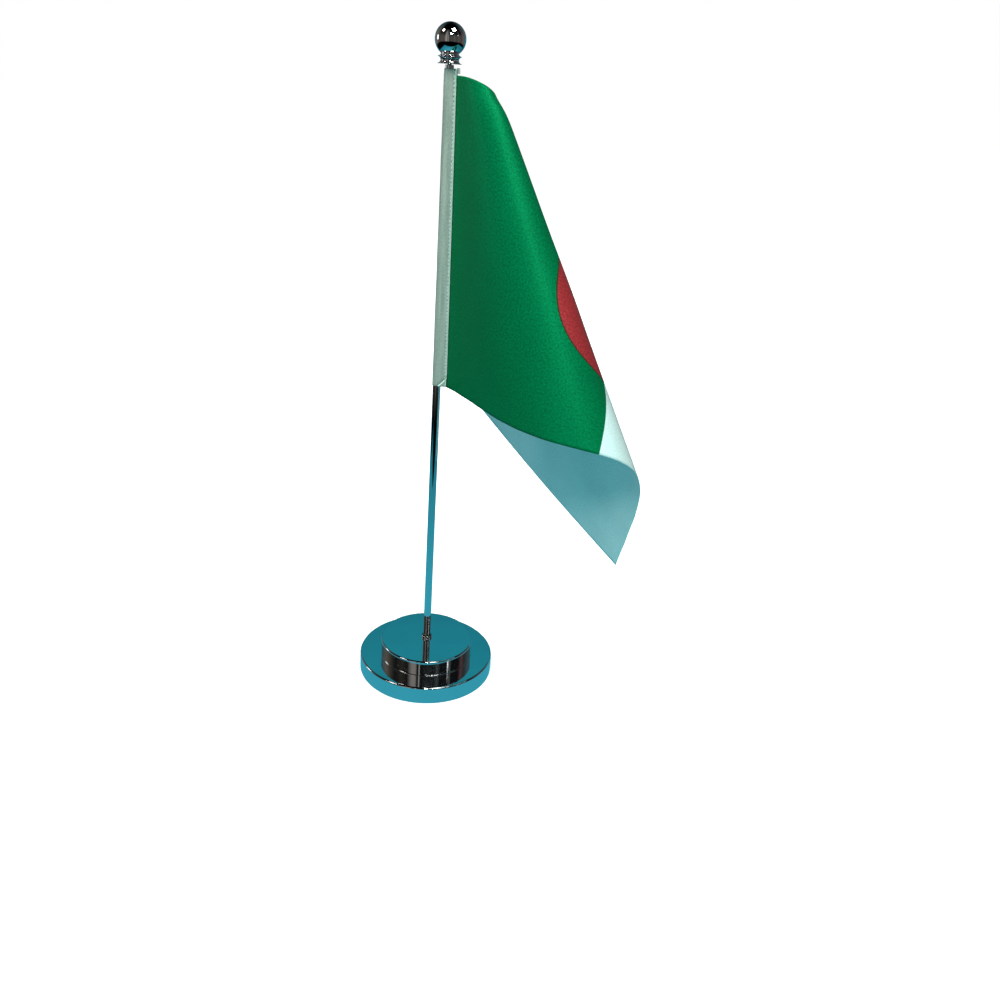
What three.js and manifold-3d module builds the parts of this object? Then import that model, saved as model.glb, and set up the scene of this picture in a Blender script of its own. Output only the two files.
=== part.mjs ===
// A desk flag on a polished two-tier stand: a weighted base, a slim pole, a turned ball finial
// and a satin flag whose header sleeve turns round the pole.
// Millimetres, +Z up. The origin is the centre of the foot pad's underside, on the pole's axis.
import * as THREE from 'three';
import Module from 'manifold-3d';
import { mergeVertices } from 'three/addons/utils/BufferGeometryUtils.js';

// ---------------------------------------------------------------- driving dimensions
const CLEAR = 0.3; // air between neighbouring pieces

const DISC_RADIUS = 39.2;
const DISC_TOP = 10.7;
const DISC_EDGE = 1.0; // radius of the disc's rounded top edge
const DRUM_RADIUS = 27.1;
const DRUM_TOP = 20.1;
const DRUM_EDGE = 0.9;
const SHELL = 1.2; // wall of both base shells

const PAD_TOP = 1.4;
const COVER = 0.8; // thickness of the bottom cover plate
const NUT_POCKET_RADIUS = 6.5;
const NUT_POCKET_TOP = 7.6;
const SCREW_CIRCLE = 27;
const SCREW_HEAD_RADIUS = 2.2;
const SCREW_RADIUS = 1.2;
const SCREW_TIP = 7.2;
const SCREW_COUNT = 3;

const POLE_RADIUS = 2.1;
const THREAD_RADIUS = 1.8;
const POLE_FOOT = 3.1;
const POLE_TOP = 331.6;
const STUD_RADIUS = 1.0;
const POLE_BORE = POLE_RADIUS + CLEAR;
const STUD_GRIP = 9; // how deep the finial's stud goes into the pole

const BOSS_RADIUS = 3.05;
const BOSS_HEIGHT = 1.2;
const BOSS_EDGE = 0.5;

const WASHER = 0.8;
const WASHER_WIDTH = 3; // from its hole to its rim
const SPRING = 0.8;
const SPRING_WIDTH = 1.3;
const SPRING_GAP = 0.24; // radians that the spring washer is open
const NUT_ACROSS_FLATS = 7;

const BALL_RADIUS = 7.25;
const BALL_CENTRE = 342.3;
const COLLAR_WAIST = 4.3;
const COLLAR_EDGE = 5.55;
const COLLAR_LIP = 0.3; // thickness of a collar's sharp edge

// The flag is cut 225 by 150 and hangs as a cone of straight lines that fan out from a point
// above the hoist. How the lines turn against each other is its bend.
const FLAG_FLY = 225;
const FLAG_HOIST = 150;
const FLAG_CLOTH = 0.8;
const HALF_GAP = 0.15; // each half stops this far short of the middle seam
const HOIST_TOP = new THREE.Vector3(3.6, -2.8, 327.4);
const HOIST_LEAN = new THREE.Vector2(0.0117, -0.0051); // sideways run per unit of drop
const FAN_RISE = 36.8; // the fan's point above the hoist's top corner
const LEAVING_HEADING = -0.975; // radians from +X, in which the cloth leaves the pole
const FRONT_BENDS = [2.03, -0.55, -2.67, -1.54]; // from the hoist to the fold, evenly spread
const FOLD_ANGLE = 0.6; // radians from the hoist, at the fan's point
const FOLD_SPREAD = 0.101;
const FOLD_TURN = -2.49; // radians that the cloth turns through at the fold
const BACK_BEND = 0.21;
const TOP_EASE = 6.5; // how far the bends are opened out at the free top edge
const TOP_EASE_DEPTH = 10; // and how far down from it that reaches

const SLEEVE_TOP = 330.1;
const SLEEVE_BORE = POLE_RADIUS + CLEAR;
const SLEEVE_CLOTH = 0.5;
const SEAM_GAP = 0.45; // from the header's seam to the hoist edge
const SEAM_HALF = 0.35; // half the thickness of the seam
const SEAM_TAPER = 1.2; // the sleeve's sides would meet this far past the seam
const TAB_LENGTH = 1.6;
const TAB_HEIGHT = 2.6;
const TAB_RISE = 1.9; // the tab's middle above the hoist's top corner

const ROUND = 48; // segments round the base's tiers
const FINIAL_ROUND = 32;
const SMALL_ROUND = 20;
const SCREW_ROUND = 12;

// ---------------------------------------------------------------- materials
function metal(color, roughness = 0.08) {
  return new THREE.MeshStandardMaterial({ color, roughness, metalness: 1 });
}

function soft(color, roughness = 0.8) {
  return new THREE.MeshStandardMaterial({ color, roughness, metalness: 0 });
}

// ---------------------------------------------------------------- shape helpers
const stand = new THREE.Group();

function add(name, geometry, material) {
  const mesh = new THREE.Mesh(geometry, material);
  mesh.name = name;
  stand.add(mesh);
  return mesh;
}

// Points on an arc about (x, z), from one angle to another in degrees.
function arc(x, z, radius, from, to, steps) {
  const points = [];
  for (let i = 0; i <= steps; i++) {
    const a = THREE.MathUtils.degToRad(from + ((to - from) * i) / steps);
    points.push([x + radius * Math.cos(a), z + radius * Math.sin(a)]);
  }
  return points;
}

// Turns a profile of [radius, height] points, anticlockwise, about the Z axis.
function turned(profile, segments = SMALL_ROUND) {
  const points = profile.map(([r, z]) => new THREE.Vector2(r, z));
  return new THREE.LatheGeometry(points, segments).rotateX(Math.PI / 2);
}

// A ring with a square section.
function ring(inner, outer, bottom, top, segments = SMALL_ROUND) {
  return turned([[inner, bottom], [outer, bottom], [outer, top], [inner, top], [inner, bottom]], segments);
}

// An upright extrusion of a shape. Its arcs are split into curveSegments steps each.
function prism(shape, bottom, top, curveSegments = 12) {
  const settings = { depth: top - bottom, bevelEnabled: false, curveSegments };
  return new THREE.ExtrudeGeometry(shape, settings).translate(0, 0, bottom);
}

const wasm = await Module();
wasm.setup();

function toSolid(geometry) {
  const bare = geometry.clone();
  bare.deleteAttribute('normal');
  bare.deleteAttribute('uv');
  const merged = mergeVertices(bare, 1e-4);
  return new wasm.Manifold(new wasm.Mesh({
    numProp: 3,
    vertProperties: new Float32Array(merged.attributes.position.array),
    triVerts: new Uint32Array(merged.index.array),
  }));
}

// Cuts the second and later geometries out of the first.
function cut(geometry, ...tools) {
  let solid = toSolid(geometry);
  for (const tool of tools) solid = solid.subtract(toSolid(tool));
  const mesh = solid.getMesh();
  const result = new THREE.BufferGeometry();
  result.setAttribute('position', new THREE.Float32BufferAttribute(mesh.vertProperties, 3));
  result.setIndex([...mesh.triVerts]);
  result.computeVertexNormals();
  return result;
}

// ---------------------------------------------------------------- base
// A tier is a spun cup, open below, with a hole for the pole in its top.
function tier(radius, bottom, top, edge) {
  const inside = radius - SHELL;
  return turned([
    [inside, bottom],
    [radius, bottom],
    ...arc(radius - edge, top - edge, edge, 0, 90, 4),
    [POLE_BORE, top],
    [POLE_BORE, top - SHELL],
    [inside, top - SHELL],
    [inside, bottom],
  ], ROUND);
}

const discFloor = 0.4;
const drumBottom = DISC_TOP + CLEAR;
const coverBottom = PAD_TOP + CLEAR;
const coverTop = coverBottom + COVER;
const ballastRadius = DISC_RADIUS - SHELL - CLEAR;
const ballastBottom = coverTop + CLEAR;
const ballastTop = DISC_TOP - SHELL - CLEAR;

function ballastWithPocket() {
  return turned([
    [NUT_POCKET_RADIUS, ballastBottom],
    [ballastRadius, ballastBottom],
    [ballastRadius, ballastTop],
    [POLE_BORE, ballastTop],
    [POLE_BORE, NUT_POCKET_TOP],
    [NUT_POCKET_RADIUS, NUT_POCKET_TOP],
    [NUT_POCKET_RADIUS, ballastBottom],
  ], ROUND);
}

add('base_disc', tier(DISC_RADIUS, discFloor, DISC_TOP, DISC_EDGE), metal(0xc8ccce));
add('base_drum', tier(DRUM_RADIUS, drumBottom, DRUM_TOP, DRUM_EDGE), metal(0xc8ccce));
add(
  'drum_ballast',
  ring(POLE_BORE, DRUM_RADIUS - SHELL - CLEAR, drumBottom, DRUM_TOP - SHELL - CLEAR, ROUND),
  metal(0x4a4a48, 0.7),
);

// Screws hold the cover plate to the ballast. Their heads lie flush in the plate.
function screwPlace(i) {
  const a = Math.PI / 2 + (2 * Math.PI * i) / SCREW_COUNT;
  return [SCREW_CIRCLE * Math.cos(a), SCREW_CIRCLE * Math.sin(a)];
}

function coverPlate() {
  const shape = new THREE.Shape();
  shape.absarc(0, 0, ballastRadius, 0, 2 * Math.PI, false);
  for (let i = 0; i < SCREW_COUNT; i++) {
    const hole = new THREE.Path();
    hole.absarc(...screwPlace(i), SCREW_HEAD_RADIUS + CLEAR, 0, 2 * Math.PI, true);
    shape.holes.push(hole);
  }
  return prism(shape, coverBottom, coverTop, SMALL_ROUND);
}

function screwHole(i) {
  const [x, y] = screwPlace(i);
  const radius = SCREW_RADIUS + CLEAR;
  const top = SCREW_TIP + CLEAR;
  const hole = turned([[0, coverTop], [radius, coverTop], [radius, top], [0, top]], SCREW_ROUND);
  return hole.translate(x, y, 0);
}

const screws = [...Array(SCREW_COUNT).keys()];
add('disc_ballast', cut(ballastWithPocket(), ...screws.map(screwHole)), metal(0x4a4a48, 0.7));
add('cover_plate', coverPlate(), metal(0x8a8d8f, 0.45));
for (const i of screws) {
  const screw = turned([
    [0, coverBottom],
    [SCREW_HEAD_RADIUS, coverBottom],
    [SCREW_HEAD_RADIUS, coverTop],
    [SCREW_RADIUS, coverTop],
    [SCREW_RADIUS, SCREW_TIP],
    [0, SCREW_TIP],
  ], SCREW_ROUND);
  const [x, y] = screwPlace(i);
  add(`cover_screw_${i + 1}`, screw.translate(x, y, 0), metal(0xa0a3a5, 0.35));
}
add(
  'foot_pad',
  turned([[0, 0], [ballastRadius, 0], [ballastRadius, PAD_TOP], [0, PAD_TOP]], ROUND),
  soft(0x1b1b1c),
);

// ---------------------------------------------------------------- pole and its fastening
const threadBore = THREAD_RADIUS + CLEAR;
const washerTop = NUT_POCKET_TOP - CLEAR;
const washerBottom = washerTop - WASHER;
const springTop = washerBottom - CLEAR;
const springBottom = springTop - SPRING;
const nutTop = springBottom - CLEAR;

function hexNut() {
  const shape = new THREE.Shape();
  const corner = NUT_ACROSS_FLATS / Math.sqrt(3);
  for (let i = 0; i < 6; i++) {
    const a = (Math.PI / 3) * i;
    const move = i === 0 ? 'moveTo' : 'lineTo';
    shape[move](corner * Math.cos(a), corner * Math.sin(a));
  }
  shape.closePath();
  const bore = new THREE.Path();
  bore.absarc(0, 0, threadBore, 0, 2 * Math.PI, true);
  shape.holes.push(bore);
  return prism(shape, ballastBottom, nutTop);
}

function springWasher() {
  const shape = new THREE.Shape();
  const [from, to] = [SPRING_GAP / 2, 2 * Math.PI - SPRING_GAP / 2];
  shape.absarc(0, 0, threadBore + SPRING_WIDTH, from, to, false);
  shape.absarc(0, 0, threadBore, to, from, true);
  shape.closePath();
  return prism(shape, springBottom, springTop);
}

// The pole steps down to its thread under the boss, and its top end is bored for the finial's stud.
function poleRod() {
  const studBore = STUD_RADIUS + CLEAR;
  return turned([
    [0, POLE_FOOT],
    [THREAD_RADIUS, POLE_FOOT],
    [THREAD_RADIUS, DRUM_TOP],
    [POLE_RADIUS, DRUM_TOP],
    [POLE_RADIUS, POLE_TOP],
    [studBore, POLE_TOP],
    [studBore, POLE_TOP - STUD_GRIP - CLEAR],
    [0, POLE_TOP - STUD_GRIP - CLEAR],
  ]);
}

function poleBoss() {
  const bottom = DRUM_TOP + CLEAR;
  const top = bottom + BOSS_HEIGHT;
  return turned([
    [POLE_BORE, bottom],
    [BOSS_RADIUS, bottom],
    ...arc(BOSS_RADIUS - BOSS_EDGE, top - BOSS_EDGE, BOSS_EDGE, 0, 90, 3),
    [POLE_BORE, top],
    [POLE_BORE, bottom],
  ]);
}

const washer = ring(threadBore, threadBore + WASHER_WIDTH, washerBottom, washerTop);
add('flat_washer', washer, metal(0xb5b8ba, 0.3));
add('spring_washer', springWasher(), metal(0x6d7072, 0.4));
add('clamp_nut', hexNut(), metal(0xb5b8ba, 0.3));
add('pole_boss', poleBoss(), metal(0xc8ccce));
add('pole_rod', poleRod(), metal(0xc8ccce));

// ---------------------------------------------------------------- finial
// Two collars and a ball, all threaded on one stud. The lower collar flares down to a sharp edge
// over a flat underside. The upper one has its sharp edge at mid-height, between two coves.
const lowerCollar = { bottom: POLE_TOP + CLEAR, height: 1.6 };
const upperCollar = { bottom: lowerCollar.bottom + lowerCollar.height + CLEAR, height: 2.2, rise: 1.15 };
const upperCollarTop = upperCollar.bottom + upperCollar.height;
const studHole = STUD_RADIUS + CLEAR;
const ballFlat = upperCollarTop + CLEAR;

// A hollow curve from a collar's edge, at one height, in to its waist at another.
function cove(edgeHeight, waistHeight) {
  const steps = 5;
  const points = [];
  for (let i = 0; i <= steps; i++) {
    const t = (i / steps) * (Math.PI / 2);
    const r = COLLAR_EDGE - (COLLAR_EDGE - COLLAR_WAIST) * Math.sin(t);
    points.push([r, edgeHeight + (waistHeight - edgeHeight) * (1 - Math.cos(t))]);
  }
  return points;
}

function collar(underside, { bottom, height }) {
  const top = bottom + height;
  return turned([
    [studHole, bottom],
    ...underside.outline,
    ...cove(underside.edgeTop, top),
    [studHole, top],
    [studHole, bottom],
  ], FINIAL_ROUND);
}

const flatUnderside = {
  outline: [[COLLAR_EDGE - COLLAR_LIP, lowerCollar.bottom]],
  edgeTop: lowerCollar.bottom + COLLAR_LIP,
};
const upperEdge = upperCollar.bottom + upperCollar.rise;
const hollowUnderside = {
  outline: cove(upperEdge, upperCollar.bottom).reverse(),
  edgeTop: upperEdge + COLLAR_LIP,
};

// The ball is cut flat where it meets the upper collar, and bored from below for the stud.
function ball() {
  const flatAngle = THREE.MathUtils.radToDeg(Math.asin((ballFlat - BALL_CENTRE) / BALL_RADIUS));
  const steps = 16;
  const lastAngle = 90 - (90 - flatAngle) / steps;
  const holeTop = BALL_CENTRE + CLEAR;
  return turned([
    [studHole, ballFlat],
    ...arc(0, BALL_CENTRE, BALL_RADIUS, flatAngle, lastAngle, steps - 1),
    [0, BALL_CENTRE + BALL_RADIUS],
    [0, holeTop],
    [studHole, holeTop],
    [studHole, ballFlat],
  ], FINIAL_ROUND);
}

function stud() {
  const bottom = POLE_TOP - STUD_GRIP;
  return turned([[0, bottom], [STUD_RADIUS, bottom], [STUD_RADIUS, BALL_CENTRE], [0, BALL_CENTRE]]);
}

add('finial_lower_collar', collar(flatUnderside, lowerCollar), metal(0xc8ccce));
add('finial_upper_collar', collar(hollowUnderside, upperCollar), metal(0xc8ccce));
add('finial_ball', ball(), metal(0xc8ccce));
add('finial_stud', stud(), metal(0xa0a3a5, 0.35));

// ---------------------------------------------------------------- flag
// Follows the fan's lines from the hoist round to the fly edge. Each step turns the line's
// direction along the fan and bends the fan sideways by the bend at that angle.
const FAN_STEPS = 400;
const FAN_END = 1.45;

function bendAt(angle) {
  const spread = (angle - FOLD_ANGLE) / FOLD_SPREAD;
  const fold = (FOLD_TURN / (FOLD_SPREAD * Math.sqrt(2 * Math.PI))) * Math.exp((-spread * spread) / 2);
  if (angle >= FOLD_ANGLE) return BACK_BEND + fold;
  const place = (angle / FOLD_ANGLE) * (FRONT_BENDS.length - 1);
  const i = Math.min(Math.floor(place), FRONT_BENDS.length - 2);
  return THREE.MathUtils.lerp(FRONT_BENDS[i], FRONT_BENDS[i + 1], place - i) + fold;
}

function squareTo(along, line) {
  return along.addScaledVector(line, -along.dot(line)).normalize();
}

function fanLines() {
  const step = FAN_END / FAN_STEPS;
  let line = new THREE.Vector3(HOIST_LEAN.x, HOIST_LEAN.y, -1).normalize();
  let along = squareTo(new THREE.Vector3(Math.cos(LEAVING_HEADING), Math.sin(LEAVING_HEADING), 0), line);
  const lines = [];
  for (let i = 0; i <= FAN_STEPS; i++) {
    lines.push(line.clone());
    const bend = bendAt(i * step);
    const side = line.clone().cross(along);
    const midLine = line.clone().addScaledVector(along, step / 2).normalize();
    const turn = line.clone().negate().addScaledVector(side, bend);
    const midAlong = squareTo(along.clone().addScaledVector(turn, step / 2), midLine);
    const midSide = midLine.clone().cross(midAlong);
    const midTurn = midLine.clone().negate().addScaledVector(midSide, bend);
    line = line.clone().addScaledVector(midAlong, step).normalize();
    along = squareTo(along.clone().addScaledVector(midTurn, step), line);
  }
  return lines;
}

const FAN = fanLines();
const FAN_POINT = HOIST_TOP.clone().addScaledVector(FAN[0], -FAN_RISE);

// The place of a point of the cut cloth: u from the hoist, v up from the bottom edge.
function clothPoint(u, v) {
  const drop = FAN_RISE + FLAG_HOIST - v;
  const place = (Math.atan2(u, drop) / FAN_END) * FAN_STEPS;
  const i = Math.min(Math.floor(place), FAN_STEPS - 1);
  const direction = FAN[i].clone().lerp(FAN[i + 1], place - i);
  return FAN_POINT.clone().addScaledVector(direction, Math.hypot(u, drop));
}

// The cloth is too stiff to bend as sharply as the fan does close to its free top edge, so the
// points there are averaged along the cloth with bell-shaped weights.
const EASE_SAMPLES = [-2, -1.5, -1, -0.5, 0, 0.5, 1, 1.5, 2];

function easedPoint(u, v) {
  const fromTop = (FLAG_HOIST - v) / TOP_EASE_DEPTH;
  const reach = Math.min(TOP_EASE * Math.exp(-fromTop * fromTop), u / Math.max(...EASE_SAMPLES));
  const sum = new THREE.Vector3();
  let total = 0;
  for (const k of EASE_SAMPLES) {
    const weight = Math.exp((-k * k) / 2);
    sum.addScaledVector(clothPoint(u + k * reach, v), weight);
    total += weight;
  }
  return sum.divideScalar(total);
}

function clothNormal(u, v) {
  const near = 0.5;
  const across = easedPoint(u + near, v).sub(easedPoint(Math.max(u - near, 0), v));
  const up = easedPoint(u, v + near).sub(easedPoint(u, v - near));
  return across.cross(up).normalize();
}

// A panel of cloth between two distances from the hoist, as a closed sheet of even thickness.
// Each row's points are spread evenly over the fan's angle, which keeps the narrow fold round.
function clothPanel(uFrom, uTo, columns, rows) {
  const positions = [];
  for (const side of [0.5, -0.5]) {
    for (let j = 0; j <= rows; j++) {
      const v = (FLAG_HOIST * j) / rows;
      const drop = FAN_RISE + FLAG_HOIST - v;
      for (let i = 0; i <= columns; i++) {
        const angle = THREE.MathUtils.lerp(Math.atan(uFrom / drop), Math.atan(uTo / drop), i / columns);
        const u = drop * Math.tan(angle);
        const p = easedPoint(u, v).addScaledVector(clothNormal(u, v), side * FLAG_CLOTH);
        positions.push(p.x, p.y, p.z);
      }
    }
  }
  const layer = (columns + 1) * (rows + 1);
  const at = (i, j, back) => j * (columns + 1) + i + (back ? layer : 0);
  const index = [];
  const quad = (a, b, c, d) => index.push(a, b, c, a, c, d);
  for (let j = 0; j < rows; j++) {
    for (let i = 0; i < columns; i++) {
      quad(at(i, j), at(i + 1, j), at(i + 1, j + 1), at(i, j + 1));
      quad(at(i, j, true), at(i, j + 1, true), at(i + 1, j + 1, true), at(i + 1, j, true));
    }
    quad(at(0, j), at(0, j + 1), at(0, j + 1, true), at(0, j, true));
    quad(at(columns, j), at(columns, j, true), at(columns, j + 1, true), at(columns, j + 1));
  }
  for (let i = 0; i < columns; i++) {
    quad(at(i, 0), at(i, 0, true), at(i + 1, 0, true), at(i + 1, 0));
    quad(at(i, rows), at(i + 1, rows), at(i + 1, rows, true), at(i, rows, true));
  }
  const geometry = new THREE.BufferGeometry();
  geometry.setAttribute('position', new THREE.Float32BufferAttribute(positions, 3));
  geometry.setIndex(index);
  geometry.computeVertexNormals();
  return geometry;
}

// The header is folded round the pole and closes in a seam at the hoist edge. It is drawn at the
// top, and leans out with the hoist edge lower down.
const seamHeading = Math.atan2(HOIST_TOP.y, HOIST_TOP.x);
const seamReach = Math.hypot(HOIST_TOP.x, HOIST_TOP.y) - SEAM_GAP;
const sleeveBottom = HOIST_TOP.z - FLAG_HOIST;

function headerSleeve() {
  const outer = SLEEVE_BORE + SLEEVE_CLOTH;
  const touch = Math.acos(outer / (seamReach + SEAM_TAPER)); // where the sides leave the round
  const shape = new THREE.Shape();
  shape.absarc(0, 0, outer, touch, 2 * Math.PI - touch, false);
  shape.lineTo(seamReach, -SEAM_HALF);
  shape.lineTo(seamReach, SEAM_HALF);
  shape.closePath();
  const bore = new THREE.Path();
  bore.absarc(0, 0, SLEEVE_BORE, 0, 2 * Math.PI, true);
  shape.holes.push(bore);
  const sleeve = prism(shape, sleeveBottom, SLEEVE_TOP).rotateZ(seamHeading);
  const position = sleeve.attributes.position;
  for (let i = 0; i < position.count; i++) {
    const [x, y, z] = [position.getX(i), position.getY(i), position.getZ(i)];
    const reach = x * Math.cos(seamHeading) + y * Math.sin(seamHeading);
    const drop = Math.max(HOIST_TOP.z - z, 0);
    const share = Math.max((reach - SLEEVE_BORE) / (seamReach - SLEEVE_BORE), 0);
    position.setXY(i, x + HOIST_LEAN.x * drop * share, y + HOIST_LEAN.y * drop * share);
  }
  return sleeve;
}

// A short loop end of the header's tape, which stands out at its top corner.
function headerTab() {
  const tab = new THREE.BoxGeometry(TAB_LENGTH, SLEEVE_CLOTH, TAB_HEIGHT);
  const out = seamReach + 2 * CLEAR + TAB_LENGTH / 2;
  return tab.rotateZ(seamHeading).translate(
    out * Math.cos(seamHeading),
    out * Math.sin(seamHeading),
    HOIST_TOP.z + TAB_RISE,
  );
}

const middle = FLAG_FLY / 2;
add('header_sleeve', headerSleeve(), soft(0xe8ece9));
add('header_tab', headerTab(), soft(0xe8ece9));
add('hoist_half', clothPanel(0, middle - HALF_GAP, 20, 14), soft(0x0c7a4c, 0.45));
add('fly_half', clothPanel(middle + HALF_GAP, FLAG_FLY, 14, 12), soft(0xe9eeec, 0.45));

export default stand;
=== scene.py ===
"""A desk flag on a polished two-tier stand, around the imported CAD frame. Metres, +Z up."""

import math

import bmesh
import bpy
import numpy as np
from mathutils import Matrix, Vector, noise


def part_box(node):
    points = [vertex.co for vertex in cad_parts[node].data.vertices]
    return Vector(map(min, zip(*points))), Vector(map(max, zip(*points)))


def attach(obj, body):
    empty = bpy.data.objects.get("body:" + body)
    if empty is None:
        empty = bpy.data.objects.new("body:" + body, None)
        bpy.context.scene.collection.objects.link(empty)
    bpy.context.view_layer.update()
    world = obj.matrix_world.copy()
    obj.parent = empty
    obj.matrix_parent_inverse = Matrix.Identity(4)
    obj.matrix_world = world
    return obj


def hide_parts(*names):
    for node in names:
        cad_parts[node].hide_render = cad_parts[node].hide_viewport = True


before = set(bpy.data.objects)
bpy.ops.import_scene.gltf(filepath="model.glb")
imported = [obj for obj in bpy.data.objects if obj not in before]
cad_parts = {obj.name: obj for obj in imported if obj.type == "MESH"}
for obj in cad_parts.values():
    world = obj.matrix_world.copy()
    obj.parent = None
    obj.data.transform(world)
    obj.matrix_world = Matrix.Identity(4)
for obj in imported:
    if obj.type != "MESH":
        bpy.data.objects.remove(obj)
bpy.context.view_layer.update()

MM = 0.001


# ---------------------------------------------------------------- camera
CAMERA_BACK = 0.4796  # in front of the pole's axis
CAMERA_HEIGHT = 0.3319
CAMERA_YAW = 0.079
CAMERA_PITCH = 0.429
CAMERA_ROLL = 0.073
LENS_PER_WIDTH = 0.9426  # focal length over the frame's width
SENSOR_WIDTH = 36.0  # Blender gives it in millimetres


def make_camera():
    data = bpy.data.cameras.new("camera")
    data.sensor_width = SENSOR_WIDTH
    data.lens = LENS_PER_WIDTH * SENSOR_WIDTH
    data.clip_start = 0.01
    data.clip_end = 50.0
    camera = link_object("camera", data)
    ahead = Vector((
        math.sin(CAMERA_YAW) * math.cos(CAMERA_PITCH),
        math.cos(CAMERA_YAW) * math.cos(CAMERA_PITCH),
        -math.sin(CAMERA_PITCH),
    ))
    level = Vector((math.cos(CAMERA_YAW), -math.sin(CAMERA_YAW), 0.0))
    above = level.cross(ahead)
    right = level * math.cos(CAMERA_ROLL) + above * math.sin(CAMERA_ROLL)
    up = above * math.cos(CAMERA_ROLL) - level * math.sin(CAMERA_ROLL)
    turn = Matrix((right, up, -ahead)).transposed().to_4x4()
    camera.matrix_world = Matrix.Translation((0.0, -CAMERA_BACK, CAMERA_HEIGHT)) @ turn
    bpy.context.scene.camera = camera


# ---------------------------------------------------------------- node helpers
class Nodes:
    """A tree of shader nodes, filled by short calls."""

    def __init__(self, tree):
        self.tree = tree

    def node(self, kind, **settings):
        made = self.tree.nodes.new(kind)
        for key, value in settings.items():
            setattr(made, key, value)
        return made

    def link(self, source, target):
        self.tree.links.new(source, target)

    def feed(self, socket, value):
        if isinstance(value, bpy.types.NodeSocket):
            self.link(value, socket)
        else:
            socket.default_value = value

    def math(self, operation, a, b=0.0, clamp=False):
        made = self.node("ShaderNodeMath", operation=operation, use_clamp=clamp)
        self.feed(made.inputs[0], a)
        self.feed(made.inputs[1], b)
        return made.outputs[0]

    def gap(self, a, b):
        return self.math("ABSOLUTE", self.math("SUBTRACT", a, b))

    def remap(self, value, low, high, to_low=0.0, to_high=1.0):
        made = self.node("ShaderNodeMapRange")
        for socket, given in zip(made.inputs, (value, low, high, to_low, to_high)):
            self.feed(socket, given)
        return made.outputs[0]

    def mix(self, share, a, b):
        made = self.node("ShaderNodeMix", data_type="RGBA")
        self.feed(made.inputs["Factor"], share)
        self.feed(made.inputs[6], a)
        self.feed(made.inputs[7], b)
        return made.outputs[2]

    def noise(self, vector, scale, detail=2.0, roughness=0.5):
        made = self.node("ShaderNodeTexNoise")
        self.feed(made.inputs["Vector"], vector)
        made.inputs["Scale"].default_value = scale
        made.inputs["Detail"].default_value = detail
        made.inputs["Roughness"].default_value = roughness
        return made.outputs["Fac"]

    def stretch(self, vector, scale):
        made = self.node("ShaderNodeMapping")
        self.feed(made.inputs["Vector"], vector)
        made.inputs["Scale"].default_value = scale
        return made.outputs["Vector"]

    def scaled(self, vector, factor):
        made = self.node("ShaderNodeVectorMath", operation="SCALE")
        self.feed(made.inputs[0], vector)
        self.feed(made.inputs["Scale"], factor)
        return made.outputs[0]

    def distance(self, vector, centre=(0.0, 0.0, 0.0)):
        made = self.node("ShaderNodeVectorMath", operation="DISTANCE")
        self.feed(made.inputs[0], vector)
        self.feed(made.inputs[1], centre)
        return made.outputs["Value"]

    def parts(self, vector):
        made = self.node("ShaderNodeSeparateXYZ")
        self.link(vector, made.inputs[0])
        return made.outputs


class Shader(Nodes):
    """A material's nodes."""

    def __init__(self, name):
        self.material = bpy.data.materials.new(name)
        self.material.use_nodes = True
        super().__init__(self.material.node_tree)
        self.surface = self.tree.nodes["Principled BSDF"]

    def set(self, **values):
        for key, value in values.items():
            self.feed(self.surface.inputs[key.replace("_", " ")], value)

    def bump(self, height, distance, strength, over=None):
        made = self.node("ShaderNodeBump")
        made.inputs["Strength"].default_value = strength
        made.inputs["Distance"].default_value = distance
        self.feed(made.inputs["Height"], height)
        if over is not None:
            self.link(over, made.inputs["Normal"])
        return made.outputs["Normal"]

    def place(self):
        return self.node("ShaderNodeTexCoord").outputs["Object"]

    def cut_place(self):
        return self.node("ShaderNodeUVMap", uv_map="cut").outputs["UV"]


# ---------------------------------------------------------------- metal and base materials
CHROME_LIGHT = (0.80, 0.81, 0.82, 1.0)
CHROME_DARK = (0.74, 0.76, 0.77, 1.0)
ZINC_LIGHT = (0.62, 0.63, 0.64, 1.0)
ZINC_DARK = (0.50, 0.51, 0.52, 1.0)
OILED_LIGHT = (0.20, 0.21, 0.22, 1.0)
OILED_DARK = (0.12, 0.12, 0.13, 1.0)
IRON = (0.09, 0.09, 0.09, 1.0)
RUST = (0.16, 0.075, 0.04, 1.0)
FOAM_DARK = (0.010, 0.010, 0.011, 1.0)
FOAM_LIGHT = (0.035, 0.035, 0.037, 1.0)


def chrome():
    s = Shader("chrome")
    place = s.place()
    haze = s.noise(place, 60.0, detail=4.0)
    smear = s.noise(s.stretch(place, (1.0, 1.0, 0.15)), 220.0, detail=3.0)
    hazy = s.remap(haze, 0.35, 0.75, 0.045, 0.08)
    smeared = s.remap(smear, 0.5, 0.8, 0.0, 0.03)
    scratches = s.noise(s.stretch(place, (1.0, 1.0, 0.04)), 3000.0, detail=1.0)
    s.set(
        Base_Color=s.mix(s.remap(haze, 0.3, 0.8), CHROME_LIGHT, CHROME_DARK),
        Metallic=1.0,
        Roughness=s.math("ADD", hazy, smeared),
        Normal=s.bump(scratches, 0.002 * MM, 0.3),
    )
    return s.material


def brushed_steel(name, light, dark, rough):
    s = Shader(name)
    place = s.place()
    grain = s.noise(s.stretch(place, (1.0, 1.0, 6.0)), 900.0, detail=3.0)
    patches = s.noise(place, 120.0, detail=3.0)
    s.set(
        Base_Color=s.mix(s.remap(patches, 0.3, 0.7), light, dark),
        Metallic=1.0,
        Roughness=s.remap(grain, 0.2, 0.8, rough, rough + 0.18),
        Normal=s.bump(grain, 0.02 * MM, 0.5),
    )
    return s.material


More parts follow.
